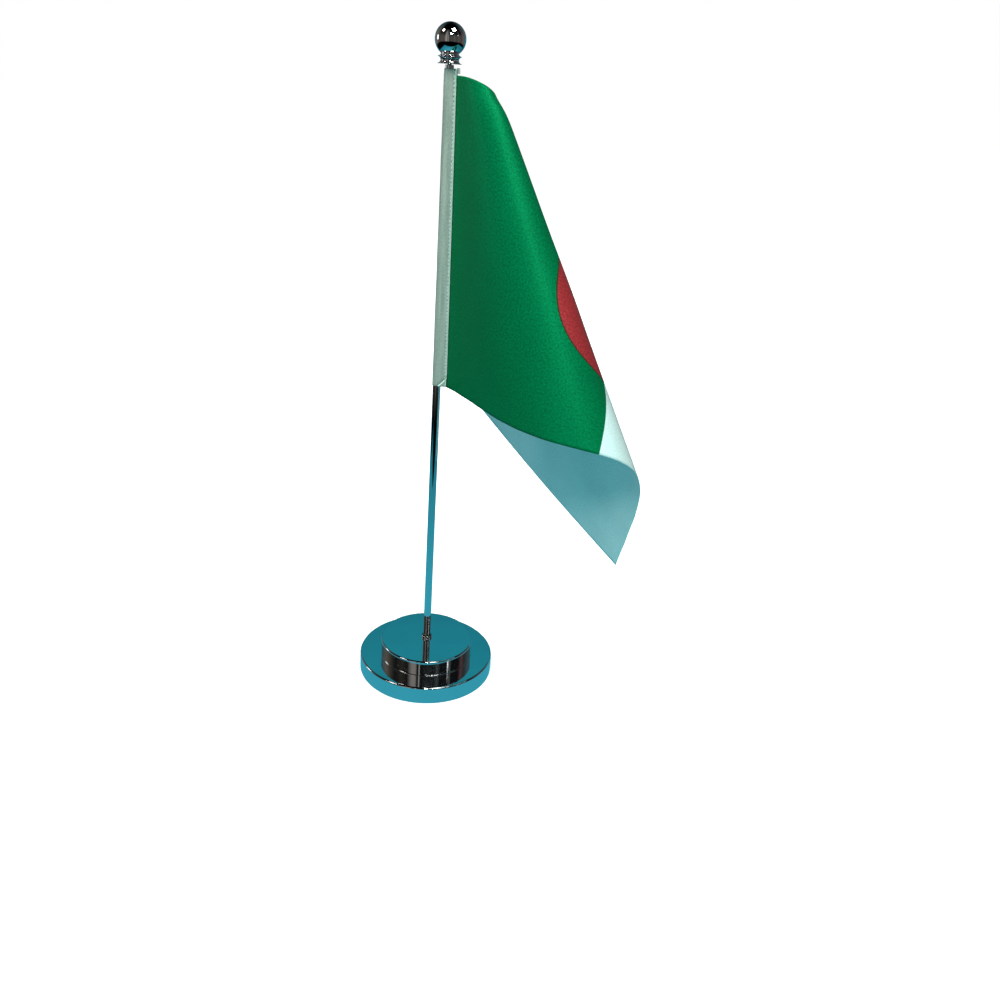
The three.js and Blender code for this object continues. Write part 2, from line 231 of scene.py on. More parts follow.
def cast_iron():
    s = Shader("cast_iron")
    place = s.place()
    sand = s.noise(place, 700.0, detail=5.0, roughness=0.65)
    rusty = s.remap(s.noise(place, 90.0, detail=4.0), 0.55, 0.75)
    s.set(
        Base_Color=s.mix(rusty, IRON, RUST),
        Metallic=0.75,
        Roughness=s.remap(sand, 0.2, 0.8, 0.55, 0.85),
        Normal=s.bump(sand, 0.2 * MM, 0.8),
    )
    return s.material


def foam():
    s = Shader("foam")
    cells = s.node("ShaderNodeTexVoronoi")
    s.link(s.place(), cells.inputs["Vector"])
    cells.inputs["Scale"].default_value = 1800.0
    wall = cells.outputs["Distance"]
    s.set(
        Base_Color=s.mix(s.remap(wall, 0.0, 0.7), FOAM_DARK, FOAM_LIGHT),
        Roughness=s.remap(wall, 0.0, 0.7, 0.75, 0.95),
        Normal=s.bump(wall, 0.15 * MM, 0.7),
    )
    return s.material


# ---------------------------------------------------------------- cloth materials
FLY = 225 * MM
HOIST = 150 * MM
GREEN = (0.0005, 0.180, 0.062, 1.0)
WHITE = (0.74, 0.88, 0.87, 1.0)
RED = (0.43, 0.036, 0.042, 1.0)
# the crescent's dark outline print, also used for the painted shade along the hoist edge
OUTLINE_AND_SEAM_SHADE = (0.030, 0.030, 0.012, 1.0)
HIGHLIGHT_TINT = (0.25, 1.0, 0.75, 1.0)
HEADER_LIGHT = (0.44, 0.43, 0.38, 1.0)
HEADER_DARK = (0.34, 0.35, 0.305, 1.0)
# painted light on the flat strip between the stitches and the hoist edge
HEADER_LIT_BAND = (0.60, 0.66, 0.58, 1.0)
# painted shade, in the needle holes and above the folded corner's crease
PAINTED_SHADE = (0.10, 0.14, 0.12, 1.0)
# painted highlight along the folded corner's crease
CREASE_HIGHLIGHT = (0.80, 0.88, 0.80, 1.0)
THREAD_DARK = (0.60, 0.63, 0.60, 1.0)
THREAD_LIGHT = (0.80, 0.82, 0.80, 1.0)
WEAVE_THREADS = 1700.0  # per metre
DEEP_TONE, PALE_TONE = 0.15, 0.45  # how bright a deep colour and a pale one are
HEADER_TAIL = 1.5 * MM  # from the stitches to the hoist edge
HEADER_MARGIN = 2 * MM  # from the header's bottom edge to its first stitch
CORNER_RISE = 5.2 * MM  # the folded-up bottom corner, along the seam
CORNER_RUN = 5.4 * MM  # and along the bottom edge
STITCH_PITCH = 1.9 * MM
STITCH_LENGTH = 1.3 * MM
THREAD = 0.13 * MM  # the thread's radius
HOLE_NEAR, HOLE_FAR = 0.15 * MM, 0.45 * MM  # where the painted shade of a needle hole starts to fade, and ends
PAINTED_SEAM_SHADE = 1.4 * MM  # how far the shade painted beside the header reaches over the flag
CRESCENT_RADIUS = HOIST / 4
CRESCENT_CUT_RADIUS = HOIST / 5
CRESCENT_CUT_SHIFT = 0.06 * HOIST
PRINT_BLUR = 0.25 * MM
OUTLINE_WIDTH = 0.6 * MM


def weave(s, cut):
    """The height of a satin weave: long floats along the hoist with small dips between them."""
    across = WEAVE_THREADS * FLY
    floats = s.noise(s.stretch(cut, (across, 0.22 * across, 1.0)), 1.0, 1.0)
    fine = s.noise(s.stretch(cut, (0.5 * across, 0.5 * across, 1.0)), 1.0, 2.0)
    return s.math("ADD", s.math("MULTIPLY", floats, 0.65), s.math("MULTIPLY", fine, 0.35))


def satin(name, colour_of):
    """Woven satin. Deep colours show its threads and its sheen more than pale ones do."""
    s = Shader(name)
    cut = s.cut_place()
    colour = colour_of(s, cut)
    brightness = s.node("ShaderNodeRGBToBW")
    s.link(colour, brightness.inputs[0])
    pale = brightness.outputs[0]
    grain = s.noise(s.stretch(cut, (250.0, 250.0, 1.0)), 1.0, 3.0, 0.6)
    clouds = s.noise(s.stretch(cut, (9.0, 9.0, 1.0)), 1.0, 2.0)
    speckle = s.remap(pale, DEEP_TONE, PALE_TONE, 0.28, 0.07)
    least = s.math("SUBTRACT", 1.0, speckle)
    most = s.math("ADD", 1.0, speckle)
    uneven = s.remap(grain, 0.36, 0.64, least, most)
    shade = s.math("MULTIPLY", uneven, s.remap(clouds, 0.3, 0.7, 0.96, 1.04))
    s.set(
        Base_Color=s.scaled(colour, shade),
        Metallic=s.remap(pale, DEEP_TONE, PALE_TONE, 0.30, 0.08),
        Roughness=s.remap(grain, 0.25, 0.75, 0.40, 0.52),
        Normal=s.bump(weave(s, cut), 0.06 * MM, 0.55, over=s.bump(grain, 0.08 * MM, 0.35)),
        Specular_IOR_Level=0.10,
        Specular_Tint=HIGHLIGHT_TINT,
    )
    return s.material


def flag_print(s, cut):
    """Green to the middle, white beyond it, a plain crescent over both, and painted shade along
    the hoist edge beside the header.
    """
    middle = Vector((0.5, HOIST / FLY / 2, 0.0))
    cut_centre = middle + Vector((CRESCENT_CUT_SHIFT / FLY, 0.0, 0.0))
    across = s.parts(cut)["X"]
    blur = PRINT_BLUR / FLY

    def beyond(centre, radius):
        """0 inside a circle and 1 outside it, with a narrow soft edge."""
        return s.remap(s.distance(cut, centre), radius / FLY - blur, radius / FLY + blur)

    def crescent(grow):
        inside = s.math("SUBTRACT", 1.0, beyond(middle, CRESCENT_RADIUS + grow))
        outside = beyond(cut_centre, CRESCENT_CUT_RADIUS - grow)
        return s.math("MULTIPLY", inside, outside, clamp=True)

    field = s.mix(s.remap(across, 0.5 - blur / 2, 0.5 + blur / 2), GREEN, WHITE)
    outlined = s.mix(crescent(OUTLINE_WIDTH), field, OUTLINE_AND_SEAM_SHADE)
    printed = s.mix(crescent(0.0), outlined, RED)
    # painted shade along the hoist edge, where the header's tail stands over the cloth
    shaded = s.remap(across, 0.2 * PAINTED_SEAM_SHADE / FLY, PAINTED_SEAM_SHADE / FLY, 0.6, 0.0)
    return s.mix(shaded, printed, OUTLINE_AND_SEAM_SHADE)


def painted_lit_band(s, from_edge, plain):
    """Adds a painted lighter band between the stitches and the hoist edge, where the flat seam
    tail faces the light.
    """
    # painted light: the flat seam tail is drawn lighter, as if it faced the light
    lit_band = s.remap(from_edge, 0.7 * HEADER_TAIL / FLY, 0.9 * HEADER_TAIL / FLY, 1.0, 0.0)
    return s.mix(lit_band, plain, HEADER_LIT_BAND)


def needle_hole_shade(s, cut, from_edge, up, cloth):
    """Adds painted shade in a row of small needle holes along the seam, darker where the thread
    pulls harder.
    """
    off_seam = s.gap(from_edge, HEADER_TAIL / FLY)
    near_seam = s.remap(off_seam, HOLE_NEAR / FLY, HOLE_FAR / FLY, 1.0, 0.0)
    along_stitch = s.math("FRACT", s.math("MULTIPLY", up, FLY / STITCH_PITCH))
    between = s.remap(s.gap(along_stitch, 0.5), 0.22, 0.40)
    pull = s.remap(s.noise(s.stretch(cut, (1.0, 90.0, 1.0)), 1.0), 0.40, 0.60, 0.25, 0.85)
    # painted shade inside each needle hole
    hole_shade = s.math("MULTIPLY", s.math("MULTIPLY", near_seam, between), pull)
    return s.mix(hole_shade, cloth, PAINTED_SHADE)


def crease_light_and_shade(s, from_edge, up, cloth):
    """Adds a painted highlight along the folded bottom corner's crease, with a painted shadow on
    its upper side.
    """
    across = s.math("MULTIPLY", from_edge, FLY / CORNER_RUN)
    rise = s.math("DIVIDE", s.math("ADD", up, HEADER_MARGIN / FLY), CORNER_RISE / FLY)
    from_corner = s.math("ADD", across, rise)
    starts = s.remap(from_corner, 1.0, 1.05)
    ends = s.remap(from_corner, 1.10, 1.40, 0.55, 0.0)
    # painted shadow above the crease, then the painted highlight along it
    shaded = s.mix(s.math("MULTIPLY", starts, ends), cloth, PAINTED_SHADE)
    return s.mix(s.remap(s.gap(from_corner, 0.96), 0.03, 0.12, 0.9, 0.0), shaded, CREASE_HIGHLIGHT)


def header_cloth(s, cut):
    """Plain cloth, with a painted lighter band outside the seam, painted shade in the needle
    holes, and a painted highlight and shadow at the creased bottom corner.
    """
    place = s.parts(cut)
    from_edge = place["X"]
    up = place["Y"]
    handled = s.noise(s.stretch(cut, (120.0, 8.0, 1.0)), 1.0)
    plain = s.mix(s.remap(handled, 0.35, 0.65), HEADER_LIGHT, HEADER_DARK)
    with_lit_band = painted_lit_band(s, from_edge, plain)
    with_hole_shade = needle_hole_shade(s, cut, from_edge, up, with_lit_band)
    return crease_light_and_shade(s, from_edge, up, with_hole_shade)


def thread():
    s = Shader("thread")
    twist = s.node("ShaderNodeTexWave", wave_type="BANDS", bands_direction="DIAGONAL")
    s.link(s.place(), twist.inputs["Vector"])
    twist.inputs["Scale"].default_value = 2200.0
    strand = twist.outputs["Fac"]
    s.set(
        Base_Color=s.mix(strand, THREAD_DARK, THREAD_LIGHT),
        Roughness=0.6,
        Sheen_Weight=0.2,
        Normal=s.bump(strand, 0.03 * MM, 0.5),
    )
    return s.material


# ---------------------------------------------------------------- mesh helpers
def link_object(name, data):
    obj = bpy.data.objects.new(name, data)
    bpy.context.scene.collection.objects.link(obj)
    return obj


def smooth(mesh):
    mesh.polygons.foreach_set("use_smooth", [True] * len(mesh.polygons))


def mesh_object(name, bm, material):
    mesh = bpy.data.meshes.new(name)
    bm.to_mesh(mesh)
    bm.free()
    mesh.materials.append(material)
    return link_object(name, mesh)


def smooth_object(name, bm, material):
    bmesh.ops.recalc_face_normals(bm, faces=bm.faces)
    obj = mesh_object(name, bm, material)
    smooth(obj.data)
    return obj


def stands_for(obj, node, body):
    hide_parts(node)
    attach(obj, body)
    return obj


def node_radius(node):
    low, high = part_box(node)
    return (high[0] - low[0]) / 2


def levels(node):
    low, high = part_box(node)
    return low[2], high[2]


# ---------------------------------------------------------------- turned pieces
ON_AXIS = 1e-7  # a point this close to the axis is on it
ROUND_STEPS = 8
ROUND_SUPPORT = 0.12 * MM  # from a round to the ring that holds its flat
SHELL = 1.2 * MM
CLEAR = 0.3 * MM  # air between the pole or the stud and the holes they go into
SCREW_STEP = 0.3 * MM  # how much slimmer the pole's threaded end is
TOUCH = 0.05 * MM  # how close two seated metal pieces come
DISC_EDGE, DISC_FOOT = 1.0 * MM, 0.4 * MM
DRUM_EDGE, DRUM_FOOT = 0.9 * MM, 0.5 * MM
BOSS_EDGE, BOSS_FOOT, BOSS_MOUTH = 0.45 * MM, 0.25 * MM, 0.12 * MM
INNER_ROUND = 0.3 * MM
RIM_ROUND = 0.2 * MM
HOLE_ROUND = 0.15 * MM
FINE_ROUND = 0.1 * MM
STUD_BORE = 1.3 * MM
STUD_BORE_DEPTH = 9.3 * MM
COLLAR_RISE = 1.15 * MM  # the upper collar's edge above its bottom
COLLAR_WAIST_STEP = 1.25 * MM  # how much slimmer a collar's waist is than its edge
COLLAR_LIP = 0.3 * MM
COLLAR_BEVEL = 0.06 * MM
COVE_STEPS = 14
NECK_STEP = 0.15 * MM  # how much slimmer the ball's flat is than the collar under it
BALL_STEPS = 64


def rounded(corners, closed):
    """Rounds each (r, z, radius) corner of a profile, and holds the flats beside each round."""
    count = len(corners)
    points = []
    for i, (r, z, radius) in enumerate(corners):
        here = Vector((r, z))
        if radius == 0.0 or (not closed and i in (0, count - 1)):
            points.append(here)
            continue
        before = (Vector(corners[i - 1][:2]) - here).normalized()
        after = (Vector(corners[(i + 1) % count][:2]) - here).normalized()
        half = before.angle(after) / 2
        reach = radius / math.tan(half)
        centre = here + (before + after).normalized() * (radius / math.sin(half))
        start = here + before * reach - centre
        end = here + after * reach - centre
        first = math.atan2(start.y, start.x)
        sweep = math.remainder(math.atan2(end.y, end.x) - first, 2 * math.pi)
        points.append(centre + start + before * ROUND_SUPPORT)
        for k in range(ROUND_STEPS + 1):
            a = first + sweep * k / ROUND_STEPS
            points.append(centre + Vector((math.cos(a), math.sin(a))) * radius)
        points.append(centre + end + after * ROUND_SUPPORT)
    return points


def turned(name, points, material, closed, segments):
    """Turns a profile of (r, z) points about the pole's axis."""
    bm = bmesh.new()
    angles = [2 * math.pi * i / segments for i in range(segments)]
    rings = []
    for r, z in points:
        if r < ON_AXIS:
            rings.append([bm.verts.new((0.0, 0.0, z))])
        else:
            rings.append([bm.verts.new((r * math.cos(a), r * math.sin(a), z)) for a in angles])
    pairs = list(zip(rings, rings[1:]))
    if closed:
        pairs.append((rings[-1], rings[0]))
    for lower, upper in pairs:
        if len(lower) == len(upper) == 1:
            continue
        for i in range(segments):
            j = (i + 1) % segments
            if len(lower) == 1:
                bm.faces.new((lower[0], upper[j], upper[i]))
            elif len(upper) == 1:
                bm.faces.new((lower[i], lower[j], upper[0]))
            else:
                bm.faces.new((lower[i], lower[j], upper[j], upper[i]))
    return smooth_object(name, bm, material)


def make_tier(node, low, edge, foot, metal):
    """One of the base's two round shells, open below and bored for the pole."""
    high = levels(node)[1]
    radius = node_radius(node)
    inside = radius - SHELL
    bore = node_radius("pole_rod") + CLEAR
    corners = [
        (inside, low, RIM_ROUND),
        (radius, low, foot),
        (radius, high, edge),
        (bore, high, HOLE_ROUND),
        (bore, high - SHELL, HOLE_ROUND),
        (inside, high - SHELL, INNER_ROUND),
    ]
    shell = turned(node + "_polished", rounded(corners, True), metal, True, 256)
    stands_for(shell, node, "base")


def make_boss(metal):
    low = levels("base_drum")[1] + TOUCH
    high = levels("pole_boss")[1]
    radius = node_radius("pole_boss")
    bore = node_radius("pole_rod") + CLEAR
    corners = [
        (bore, low, FINE_ROUND),
        (radius, low, BOSS_FOOT),
        (radius, high, BOSS_EDGE),
        (bore, high, BOSS_MOUTH),
    ]
    boss = turned("pole_boss_polished", rounded(corners, True), metal, True, 96)
    stands_for(boss, "pole_boss", "base")


def make_base(metal):
    disc_low, disc_high = levels("base_disc")
    make_tier("base_disc", disc_low, DISC_EDGE, DISC_FOOT, metal)
    make_tier("base_drum", disc_high + TOUCH, DRUM_EDGE, DRUM_FOOT, metal)
    make_boss(metal)


def make_pole(metal):
    low, high = levels("pole_rod")
    radius = node_radius("pole_rod")
    shoulder = levels("base_drum")[1]
    screw = radius - SCREW_STEP
    corners = [
        (0.0, low, 0.0),
        (screw, low, INNER_ROUND),
        (screw, shoulder, 0.0),
        (radius, shoulder, FINE_ROUND),
        (radius, high, INNER_ROUND),
        (STUD_BORE, high, FINE_ROUND),
        (STUD_BORE, high - STUD_BORE_DEPTH, 0.0),
        (0.0, high - STUD_BORE_DEPTH, 0.0),
    ]
    pole = turned("pole_polished", rounded(corners, False), metal, False, 72)
    stands_for(pole, "pole_rod", "pole")


def cove(edge, edge_height, waist_height):
    """A hollow curve from a collar's edge, at one height, in to its waist at another."""
    points = []
    for i in range(1, COVE_STEPS + 1):
        t = i / COVE_STEPS * math.pi / 2
        r = edge - COLLAR_WAIST_STEP * math.sin(t)
        z = edge_height + (waist_height - edge_height) * (1 - math.cos(t))
        points.append(Vector((r, z)))
    return points


def make_collar(node, metal, low, edge_low):
    """A collar with one sharp edge, which lies flat on the underside or between two coves."""
    high = levels(node)[1]
    edge = node_radius(node)
    edge_high = edge_low + COLLAR_LIP
    points = [Vector((STUD_BORE, low))]
    if edge_low > low:
        points += reversed(cove(edge, edge_low, low))
    points += [
        Vector((edge - COLLAR_BEVEL, edge_low)),
        Vector((edge, edge_low + COLLAR_BEVEL)),
        Vector((edge, edge_high - COLLAR_BEVEL)),
        Vector((edge - COLLAR_BEVEL, edge_high)),
    ]
    points += cove(edge, edge_high, high)
    points.append(Vector((STUD_BORE, high)))
    collar = turned(node + "_polished", points, metal, True, 128)
    stands_for(collar, node, "finial")


def make_ball(metal):
    """The ball, with a small flat below, bored for the stud to just past its middle."""
    radius = node_radius("finial_ball")
    low = levels("finial_upper_collar")[1] + TOUCH
    centre = levels("finial_ball")[1] - radius
    bore_top = centre + CLEAR
    neck = node_radius("finial_upper_collar") - COLLAR_WAIST_STEP - NECK_STEP
    start = -math.acos(neck / radius)
    points = [Vector((STUD_BORE, low)), Vector((neck, low))]
    for i in range(BALL_STEPS):
        a = start + (math.pi / 2 - start) * i / BALL_STEPS
        points.append(Vector((radius * math.cos(a), centre + radius * math.sin(a))))
    points += [
        Vector((0.0, centre + radius)),
        Vector((0.0, bore_top)),
        Vector((STUD_BORE, bore_top)),
    ]
    ball = turned("finial_ball_polished", points, metal, True, 192)
    stands_for(ball, "finial_ball", "finial")


def make_finial(metal):
    lower_low, lower_high = levels("finial_lower_collar")
    upper_low = levels("finial_upper_collar")[0]
    make_collar("finial_lower_collar", metal, lower_low, lower_low)
    make_collar("finial_upper_collar", metal, lower_high + TOUCH, upper_low + COLLAR_RISE)
    make_ball(metal)


# ---------------------------------------------------------------- the flag's cloth
HOIST_TOP = Vector((3.6, -2.8, 327.4)) * MM
HOIST_LEAN = (0.0117, -0.0051)
LEAVING_HEADING = -0.975  # the way the cloth leaves the pole, seen from above
LEAVING_3D = np.array((math.cos(LEAVING_HEADING), math.sin(LEAVING_HEADING), 0.0))
LEAVING = Vector(LEAVING_3D[:2])
LEAVING_SIDE = Vector((-LEAVING.y, LEAVING.x))
FAN_RISE = 36.8 * MM  # how far above the hoist's top the cloth's straight lines meet
FRONT_BENDS = (2.03, -0.55, -2.67, -1.54)  # the cloth's bend, at even steps up to the fold
FOLD_ANGLE = 0.6
FOLD_SPREAD = 0.101
FOLD_TURN = -2.49
BACK_BEND = 0.21
FAN_END = 1.45
FAN_STEPS = 600
CLOTH = 0.32 * MM
FLAG_COLUMNS, FLAG_ROWS = 200, 110
TUCK = 0.7 * MM  # how far the hoist edge goes in between the header's tails
NORMAL_STEP = 0.2 * MM
TOP_EASE = 4.7 * MM  # the stiff cloth's fold is rounder than a cone's near the free top edge
TOP_EASE_DEPTH = 10.0 * MM
EASE_SPAN, EASE_SAMPLES = 2.4, 13
TOP_SAG = 2.3 * MM  # how far the free top edge droops at the fold
TOP_SAG_PLACE = 25.0 * MM
TOP_SAG_WIDTH = 12.0 * MM
SEAM_PUCKER, SLANT_WAVE, EDGE_WAVE = 0.16, 0.35, 0.45  # heights of the ripple, in mm
SEAM_REACH, EDGE_REACH = 5.0, 7.0  # how far from its edge each dies away, in mm
CALM = 12.0  # from the hoist edge to where the waves reach their full height, in mm


def bend_at(angle):
    spread = (angle - FOLD_ANGLE) / FOLD_SPREAD
    fold = FOLD_TURN / (FOLD_SPREAD * math.sqrt(2 * math.pi)) * math.exp(-spread * spread / 2)
    if angle >= FOLD_ANGLE:
        return BACK_BEND + fold
    places = np.linspace(0.0, FOLD_ANGLE, len(FRONT_BENDS))
    return float(np.interp(angle, places, FRONT_BENDS)) + fold


def square_to(along, line):
    return (along - line * along.dot(line)).normalized()


def fan_lines():
    """The directions of the straight lines that the hanging cloth is made of, hoist first."""
    step = FAN_END / FAN_STEPS
    line = Vector((*HOIST_LEAN, -1.0)).normalized()
    along = square_to(Vector(LEAVING_3D), line)
    lines = []
    for i in range(FAN_STEPS + 1):
        lines.append(line.copy())
        bend = bend_at(i * step)
        mid_line = (line + along * step / 2).normalized()
        mid_along = square_to(along + (line.cross(along) * bend - line) * step / 2, mid_line)
        mid_turn = mid_line.cross(mid_along) * bend - mid_line
        line = (line + mid_along * step).normalized()
        along = square_to(along + mid_turn * step, line)
    return np.array(lines)


FAN = fan_lines()
FAN_POINT = np.array(HOIST_TOP) - FAN[0] * FAN_RISE


def cloth_points(u, v):
    """Places of points of the cut cloth: u from the hoist edge, v up from the bottom edge."""
    drop = FAN_RISE + HOIST - v
    place = np.arctan2(np.maximum(u, 0.0), drop) / FAN_END * FAN_STEPS
    i = np.minimum(place.astype(int), FAN_STEPS - 1)
    share = (place - i)[..., None]
    direction = FAN[i] * (1 - share) + FAN[i + 1] * share
    points = FAN_POINT + direction * np.hypot(u, drop)[..., None]
    tucked = np.minimum(u, 0.0)[..., None]
    in_tuck = FAN_POINT + FAN[0] * drop[..., None] + LEAVING_3D * tucked
    return np.where(tucked < 0, in_tuck, points)


def eased_points(u, v):
    """The cloth's points, with its sharpest bends opened out toward the free top edge."""
    from_top = (HOIST - v) / TOP_EASE_DEPTH
    reach = np.minimum(TOP_EASE * np.exp(-from_top ** 2), np.maximum(u, 0.0) / EASE_SPAN)
    offsets = np.linspace(-EASE_SPAN, EASE_SPAN, EASE_SAMPLES)
    weights = np.exp(-offsets ** 2 / 2)
    total = sum(w * cloth_points(u + k * reach, v) for k, w in zip(offsets, weights))
    sag = TOP_SAG * np.exp(-from_top ** 2 - ((u - TOP_SAG_PLACE) / TOP_SAG_WIDTH) ** 2)
    return total / weights.sum() - sag[..., None] * np.array((0.0, 0.0, 1.0))


def cloth_normals(u, v):
    before = np.maximum(u - NORMAL_STEP, 0.0)
    across = cloth_points(u + NORMAL_STEP, v) - cloth_points(before, v)
    up = cloth_points(u, v + NORMAL_STEP) - cloth_points(u, v - NORMAL_STEP)
    normal = np.cross(across, up)
    return normal / np.linalg.norm(normal, axis=-1, keepdims=True)


def ripple_at(a, b):
    """The ripple at one point, a mm from the hoist edge and b mm above the bottom edge."""
    at_seam = math.exp(-max(a, 0.0) / SEAM_REACH)
    pucker = SEAM_PUCKER * at_seam * noise.noise((0.0, b / 2.6, 3.1))
    slant = noise.noise((a / 34.0, b / 60.0, 7.7))
    edge = math.exp(-b / EDGE_REACH) * noise.noise((a / 16.0, 0.0, 1.3))
    strength = min(1.0, max(a, 0.0) / CALM)
    return (pucker + strength * (SLANT_WAVE * slant + EDGE_WAVE * edge)) * MM


def ripple(u, v):
    """Small unevenness of real cloth: puckers along the header seam and soft waves elsewhere."""
    out = np.zeros_like(u)
    for index in np.ndindex(u.shape):
        out[index] = ripple_at(u[index] / MM, v[index] / MM)
    return out


def grid_faces(rows, columns):
    faces = []
    for j in range(rows - 1):
        for i in range(columns - 1):
            a = j * columns + i
            faces.append((a, a + 1, a + columns + 1, a + columns))
    return faces


def cloth_object(name, points, flat, rows, material):
    """A grid of cloth. flat has each point's place on the flat cut, as shares of the fly."""
    mesh = bpy.data.meshes.new(name)
    mesh.from_pydata(points, [], grid_faces(rows, len(points) // rows))
    corners = [loop.vertex_index for loop in mesh.loops]
    mesh.uv_layers.new(name="cut").data.foreach_set("uv", np.array(flat)[corners].ravel())
    smooth(mesh)
    mesh.materials.append(material)
    return link_object(name, mesh)


def thicken(obj, thickness, offset=0.0):
    solid = obj.modifiers.new("thickness", "SOLIDIFY")
    solid.thickness = thickness
    solid.offset = offset
    graph = bpy.context.evaluated_depsgraph_get()
    mesh = bpy.data.meshes.new_from_object(obj.evaluated_get(graph))
    obj.modifiers.clear()
    obj.data = mesh


def flag_grid():
    """Places on the cut cloth, half way between even steps and even angles of the fan."""
    v = np.linspace(0.0, HOIST, FLAG_ROWS)[:, None] * np.ones((1, FLAG_COLUMNS))
    drop = FAN_RISE + HOIST - v[:, 2:]
    spread = np.linspace(0.0, 1.0, FLAG_COLUMNS - 2)[None, :]
    fanned = drop * np.tan(np.arctan(FLY / drop) * spread)
    tucked = np.ones((FLAG_ROWS, 1)) * np.array((-TUCK, -TUCK / 2))
    return np.hstack([tucked, 0.5 * fanned + 0.5 * FLY * spread]), v


def make_flag(material):
    u, v = flag_grid()
    points = eased_points(u, v) + cloth_normals(np.maximum(u, 0.0), v) * ripple(u, v)[..., None]
    flat = np.stack([np.maximum(u, 0.0) / FLY, v / FLY], -1).reshape(-1, 2)
    flag = cloth_object("flag_cloth", points.reshape(-1, 3).tolist(), flat, FLAG_ROWS, material)
    thicken(flag, CLOTH)
    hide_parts("hoist_half", "fly_half")
    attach(flag, "flag")
    return flag


# ---------------------------------------------------------------- header
HEADER_CLOTH = 0.2 * MM
HEADER_LOOSE = 0.12 * MM  # air between the cloth and the pole
HEADER_ROWS = 380
TAIL_HALF = 0.42 * MM
TAIL_STEPS, SIDE_STEPS, TURN_STEPS = 4, 7, 40
CORNER_LIFT = 0.35 * MM
CORNER_EDGE = 0.4 * MM
SEAM_PULL = 0.10 * MM
SEAM_WIDTH = 0.55 * MM
PUCKER = 0.10 * MM
SLACK = 0.10 * MM
BUNCHED = 0.45 * MM  # the wrinkles near the header's top
BUNCHED_REACH = 9 * MM
DEEPEST = -0.08 * MM
THREAD_SINK = 0.5 * THREAD
STITCH_SHIFT = 0.1 * MM
STITCH_SIDES, STITCH_CAPS = 8, 3
TAB_REACH = 0.9 * MM
TAB_MARGIN = 0.1 * MM
TAB_PITCH = 0.3 * MM  # between the tab's columns, on the flat cut
TAB_TAPER = 0.35  # how much narrower its top is
TAB_TURN_STEPS, TAB_ROWS = 16, 12


def hoist_place(z):
    down = max(HOIST_TOP.z - z, 0.0)
    return Vector((HOIST_TOP.x + HOIST_LEAN[0] * down, HOIST_TOP.y + HOIST_LEAN[1] * down))


def on_circle(radius, angle):
    return Vector((radius * math.cos(angle), radius * math.sin(angle)))


def header_section(z):
    """The header's outline at one height: out from the hoist edge, round the pole and back."""
    tip = hoist_place(z)
    meet = tip - LEAVING * HEADER_TAIL
    start = meet - LEAVING_SIDE * TAIL_HALF
    finish = meet + LEAVING_SIDE * TAIL_HALF
    radius = node_radius("pole_rod") + HEADER_LOOSE + HEADER_CLOTH
    heading = math.atan2(meet.y, meet.x)
    touch = math.acos(radius / meet.length)
    turn = 2 * math.pi - 2 * touch
    first = on_circle(radius, heading - touch)
    last = on_circle(radius, heading - touch - turn)
    points = []
    for k in range(TAIL_STEPS):
        points.append(tip + (meet - tip) * k / TAIL_STEPS - LEAVING_SIDE * TAIL_HALF)
    for k in range(SIDE_STEPS):
        points.append(start.lerp(first, k / SIDE_STEPS))
    for k in range(TURN_STEPS + 1):
        points.append(on_circle(radius, heading - touch - turn * k / TURN_STEPS))
    for k in range(1, SIDE_STEPS + 1):
        points.append(last.lerp(finish, k / SIDE_STEPS))
    for k in range(1, TAIL_STEPS + 1):
        points.append(finish + (tip - meet) * k / TAIL_STEPS)
    return points


def smooth_step(value, low, high):
    t = min(max((value - low) / (high - low), 0.0), 1.0)
    return t * t * (3 - 2 * t)


def header_relief(from_edge, front, z, low, high):
    """How far the header stands out: puckers at the stitches, wrinkles and a folded corner."""
    side = 1.0 if front else -1.0
    a, b = from_edge / MM, z / MM
    stitch_turn = 2 * math.pi * (z - low - HEADER_MARGIN) / STITCH_PITCH
    at_seam = math.exp(-((from_edge - HEADER_TAIL) / SEAM_WIDTH) ** 2)
    beside_seam = math.exp(-((a - 1.9) / 0.9) ** 2)
    near_top = math.exp(-(high - z) / BUNCHED_REACH)
    pull = -SEAM_PULL * math.cos(stitch_turn) * at_seam
    pucker = PUCKER * noise.noise((side, b / 2.1, 5.0)) * beside_seam
    slack = SLACK * noise.noise((a / 2.5, b / 15.0, 9.0))
    bunched = BUNCHED * noise.noise((a / 1.3, b / 4.0, 2.0)) * near_top
    out = pull + pucker + (slack + bunched) * smooth_step(from_edge, 1.0 * MM, 3.0 * MM)
    out = max(out, DEEPEST)
    if front:
        fold_line = CORNER_RISE * (1 - from_edge / CORNER_RUN)
        out += CORNER_LIFT * smooth_step(fold_line - (z - low), 0.0, CORNER_EDGE)
    return out


def make_header(material):
    low, high = levels("header_sleeve")
    points = []
    flat = []
    for j in range(HEADER_ROWS):
        z = low + (high - low) * j / (HEADER_ROWS - 1)
        section = header_section(z)
        count = len(section)
        runs = [0.0]
        for a, b in zip(section, section[1:]):
            runs.append(runs[-1] + (b - a).length)
        for i, point in enumerate(section):
            along = section[min(i + 1, count - 1)] - section[max(i - 1, 0)]
            outward = Vector((-along.y, along.x)).normalized()
            from_edge = min(runs[i], runs[-1] - runs[i])
            moved = point + outward * header_relief(from_edge, i < count / 2, z, low, high)
            points.append((moved.x, moved.y, z))
            flat.append((from_edge / FLY, (z - low - HEADER_MARGIN) / FLY))
    header = cloth_object("header_cloth", points, flat, HEADER_ROWS, material)
    thicken(header, HEADER_CLOTH, 1.0)
    return stands_for(header, "header_sleeve", "flag")


